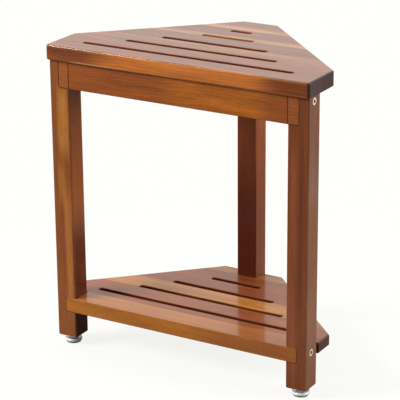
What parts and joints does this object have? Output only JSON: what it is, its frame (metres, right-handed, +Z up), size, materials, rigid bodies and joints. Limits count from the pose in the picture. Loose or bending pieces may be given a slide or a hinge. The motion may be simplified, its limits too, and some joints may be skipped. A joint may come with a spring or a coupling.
{
  "type": "bathroom stool",
  "caption": "Wooden corner stool for a bathroom, with a slotted seat, a slotted shelf near the floor and screw-adjusted levelling feet.",
  "frame": {"origin": "on the floor, under the middle of the seat's bounding box", "axes": "+Z up, -Y towards the long front edge of the seat, +X to the right seen from the front"},
  "size_m": [0.416, 0.252, 0.457],
  "materials": {
    "seat_wood": "edge-glued hardwood, satin lacquer",
    "shelf_wood": "edge-glued hardwood, satin lacquer",
    "rail_wood": "planed hardwood, satin lacquer",
    "leg_wood": "planed hardwood, satin lacquer",
    "dowel_beech": "plain beech",
    "bolt_brass": "polished brass plating",
    "screw_steel": "zinc plated",
    "insert_zinc": "zinc plated",
    "pad_nickel": "satin nickel plated"
  },
  "bodies": {
    "root": {"seat_panel": "seat_wood", "shelf_panel": "shelf_wood", "front_apron": "rail_wood", "shelf_rail": "rail_wood", "centre_stretcher": "rail_wood", "leg_front_left": "leg_wood", "leg_front_right": "leg_wood", "leg_rear": "leg_wood", "frame_bolts": "bolt_brass", "barrel_nuts": "bolt_brass", "dowels": "dowel_beech", "seat_screws": "screw_steel", "foot_insert_front_left": "insert_zinc", "foot_insert_front_right": "insert_zinc", "foot_insert_rear": "insert_zinc"},
    "pad_front_left": {"foot_pad_front_left": "pad_nickel"},
    "stud_front_left": {"foot_stud_front_left": "insert_zinc"},
    "pad_front_right": {"foot_pad_front_right": "pad_nickel"},
    "stud_front_right": {"foot_stud_front_right": "insert_zinc"},
    "pad_rear": {"foot_pad_rear": "pad_nickel"},
    "stud_rear": {"foot_stud_rear": "insert_zinc"}
  },
  "joints": [
    {"name": "foot_front_left_lift", "type": "slide", "parent": "root", "child": "pad_front_left", "axis": [0, 0, -1], "range_m": [0, 0.01]},
    {"name": "foot_front_left_turn", "type": "hinge", "parent": "pad_front_left", "child": "stud_front_left", "pos_m": [-0.19, -0.105, 0.006], "axis": [0, 0, -1], "range_deg": [0, 2880]},
    {"name": "foot_front_right_lift", "type": "slide", "parent": "root", "child": "pad_front_right", "axis": [0, 0, -1], "range_m": [0, 0.01]},
    {"name": "foot_front_right_turn", "type": "hinge", "parent": "pad_front_right", "child": "stud_front_right", "pos_m": [0.19, -0.105, 0.006], "axis": [0, 0, -1], "range_deg": [0, 2880]},
    {"name": "foot_rear_lift", "type": "slide", "parent": "root", "child": "pad_rear", "axis": [0, 0, -1], "range_m": [0, 0.01]},
    {"name": "foot_rear_turn", "type": "hinge", "parent": "pad_rear", "child": "stud_rear", "pos_m": [0, 0.098, 0.006], "axis": [0, 0, -1], "range_deg": [0, 2880]}
  ],
  "couplings": [
    {"joint": "foot_front_left_turn", "follows": "foot_front_left_lift", "rad_per_m": 5026.5},
    {"joint": "foot_front_right_turn", "follows": "foot_front_right_lift", "rad_per_m": 5026.5},
    {"joint": "foot_rear_turn", "follows": "foot_rear_lift", "rad_per_m": 5026.5}
  ]
}
